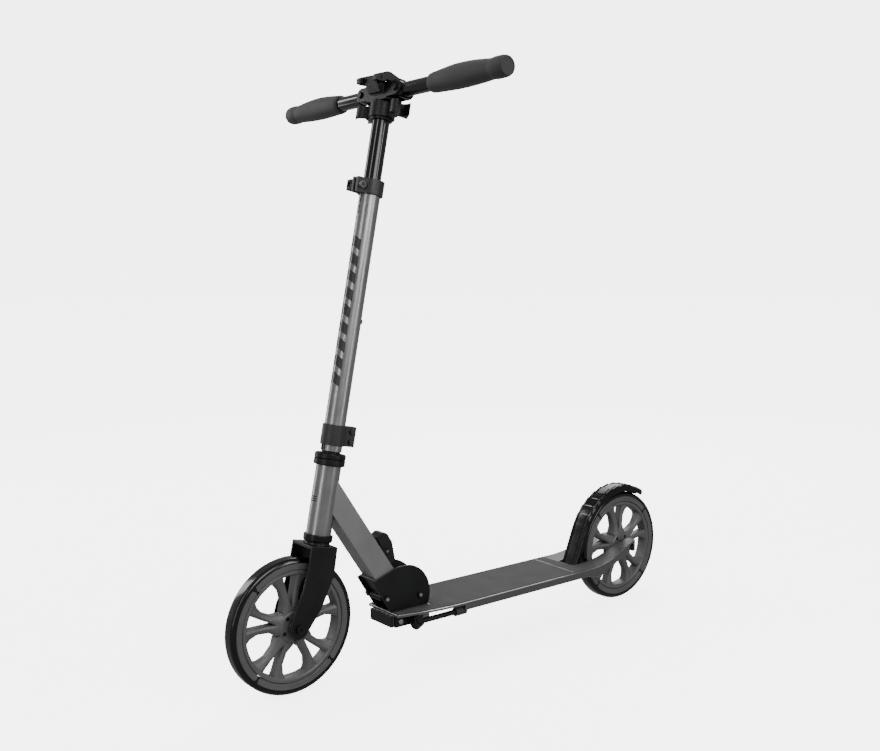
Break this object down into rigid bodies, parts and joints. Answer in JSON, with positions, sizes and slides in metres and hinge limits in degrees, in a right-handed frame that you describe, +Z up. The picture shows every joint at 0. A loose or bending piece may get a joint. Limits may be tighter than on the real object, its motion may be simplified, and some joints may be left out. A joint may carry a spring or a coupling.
{
  "type": "kick scooter",
  "caption": "Folding kick scooter with large spoked wheels, long deck, rear foot brake, side stand and a height-adjustable handlebar with folding grips.",
  "frame": {"origin": "centre of the bounding box on the ground, close to midway between the wheel contact points", "axes": "+X forward, +Y to the rider's left, +Z up"},
  "size_m": [0.93, 0.546, 0.9205],
  "materials": {
    "frame_silver": "satin silver-grey lacquer",
    "frame_tube_grey": "satin mid-grey lacquer",
    "black_metal": "satin black powder coat",
    "gloss_black": "gloss black lacquer",
    "clamp_grey": "satin dark grey",
    "steel": "zinc-plated steel",
    "deck_aluminium": "satin anodised aluminium",
    "grip_tape": "fine-grained grip sheet",
    "rim_grey": "satin grey moulding",
    "tyre_band": "grey moulded urethane",
    "tyre_black": "gloss black urethane",
    "grip_rubber": "matt dark grey rubber",
    "black_plastic": "textured black plastic",
    "fender_plastic": "semi-gloss black plastic",
    "brake_rubber": "brake pad rubber"
  },
  "bodies": {
    "deck": {"deck": "deck_aluminium", "grip_surface": "grip_tape", "front_block": "deck_aluminium", "front_end_cap": "black_plastic", "fold_bracket": "black_metal", "fold_pivot_bolt": "steel", "bracket_rear_bolts": "steel", "rear_axle_bolt": "black_metal", "rear_axle_spacers": "steel", "fender_hinge_pin": "steel", "stand_mount": "black_metal", "stand_mount_bolts": "steel", "stand_pivot_bolt": "black_metal"},
    "front_frame": {"frame_tube": "frame_tube_grey", "head_tube": "frame_silver", "fold_hinge_block": "black_metal", "lower_headset_cup": "black_metal", "upper_headset_cup": "black_metal", "headset_bearings": "steel", "release_lever_mount": "black_metal", "release_lever_pin": "steel", "release_lever_spring": "steel"},
    "steering_column": {"fork": "black_metal", "steerer_tube": "black_metal", "headset_nut": "black_metal", "stem_tube": "frame_silver", "stem_clamp": "clamp_grey", "stem_screws": "steel", "height_clamp_collar": "clamp_grey", "height_clamp_bolt": "clamp_grey", "height_clamp_nut": "clamp_grey", "guide_bush": "black_plastic", "front_axle_bolt": "black_metal", "front_axle_spacers": "steel"},
    "front_wheel": {"front_wheel_rim": "rim_grey", "front_wheel_band": "tyre_band", "front_tyre": "tyre_black", "front_wheel_bearings": "steel"},
    "rear_wheel": {"rear_wheel_rim": "rim_grey", "rear_wheel_band": "tyre_band", "rear_tyre": "tyre_black", "rear_wheel_bearings": "steel"},
    "mast": {"sliding_tube": "gloss_black", "bar_head": "gloss_black", "bar_clips": "black_plastic", "bar_head_pins": "black_metal"},
    "height_lever": {"height_lever": "clamp_grey"},
    "left_bar": {"left_bar_knuckle": "gloss_black", "left_bar_tube": "gloss_black", "left_grip": "grip_rubber"},
    "right_bar": {"right_bar_knuckle": "gloss_black", "right_bar_tube": "gloss_black", "right_grip": "grip_rubber"},
    "left_latch": {"left_latch_lever": "black_plastic"},
    "right_latch": {"right_latch_lever": "black_plastic"},
    "release_lever": {"release_lever": "black_plastic"},
    "brake": {"brake_fender": "fender_plastic", "brake_pad": "brake_rubber"},
    "side_stand": {"stand_leg": "black_metal", "stand_foot": "grip_rubber"}
  },
  "joints": [
    {"name": "fold", "type": "hinge", "parent": "deck", "child": "front_frame", "pos_m": [0.2015, 0, 0.114], "axis": [0, -1, 0], "range_deg": [0, 79]},
    {"name": "steer", "type": "hinge", "parent": "front_frame", "child": "steering_column", "pos_m": [0.3363, 0, 0.1025], "axis": [-0.1908, 0, 0.9816], "range_deg": [-60, 60]},
    {"name": "front_wheel_spin", "type": "hinge", "parent": "steering_column", "child": "front_wheel", "pos_m": [0.3625, 0, 0.1025], "axis": [0, 1, 0], "continuous": true},
    {"name": "rear_wheel_spin", "type": "hinge", "parent": "deck", "child": "rear_wheel", "pos_m": [-0.3625, 0, 0.1025], "axis": [0, 1, 0], "continuous": true},
    {"name": "height", "type": "slide", "parent": "steering_column", "child": "mast", "axis": [-0.1908, 0, 0.9816], "range_m": [-0.075, 0.07]},
    {"name": "height_lever", "type": "hinge", "parent": "steering_column", "child": "height_lever", "pos_m": [0.23376, -0.0156, 0.75319], "axis": [-0.1908, 0, 0.9816], "range_deg": [0, 100]},
    {"name": "left_bar_fold", "type": "hinge", "parent": "mast", "child": "left_bar", "pos_m": [0.18295, 0.0445, 0.89143], "axis": [0.9816, 0, 0.1908], "range_deg": [-90, 0]},
    {"name": "right_bar_fold", "type": "hinge", "parent": "mast", "child": "right_bar", "pos_m": [0.18295, -0.0445, 0.89143], "axis": [-0.9816, 0, -0.1908], "range_deg": [-90, 0]},
    {"name": "left_latch", "type": "hinge", "parent": "mast", "child": "left_latch", "pos_m": [0.20747, 0.021, 0.91046], "axis": [0, 1, 0], "range_deg": [0, 25], "stiffness_Nm_per_rad": 0.1, "springref_deg": -17.19},
    {"name": "right_latch", "type": "hinge", "parent": "mast", "child": "right_latch", "pos_m": [0.20747, -0.021, 0.91046], "axis": [0, 1, 0], "range_deg": [0, 25], "stiffness_Nm_per_rad": 0.1, "springref_deg": -17.19},
    {"name": "release_lever", "type": "hinge", "parent": "front_frame", "child": "release_lever", "pos_m": [0.1931, 0, 0.18721], "axis": [0, 1, 0], "range_deg": [0, 8], "stiffness_Nm_per_rad": 0.2, "springref_deg": -17.19},
    {"name": "brake", "type": "hinge", "parent": "deck", "child": "brake", "pos_m": [-0.238, 0, 0.081], "axis": [0, -1, 0], "range_deg": [0, 1.1], "stiffness_Nm_per_rad": 3, "springref_deg": -8.59},
    {"name": "side_stand", "type": "hinge", "parent": "deck", "child": "side_stand", "pos_m": [0.158, 0.0465, 0.0743], "axis": [0, -0.7507, -0.6607], "range_deg": [0, 72]}
  ]
}
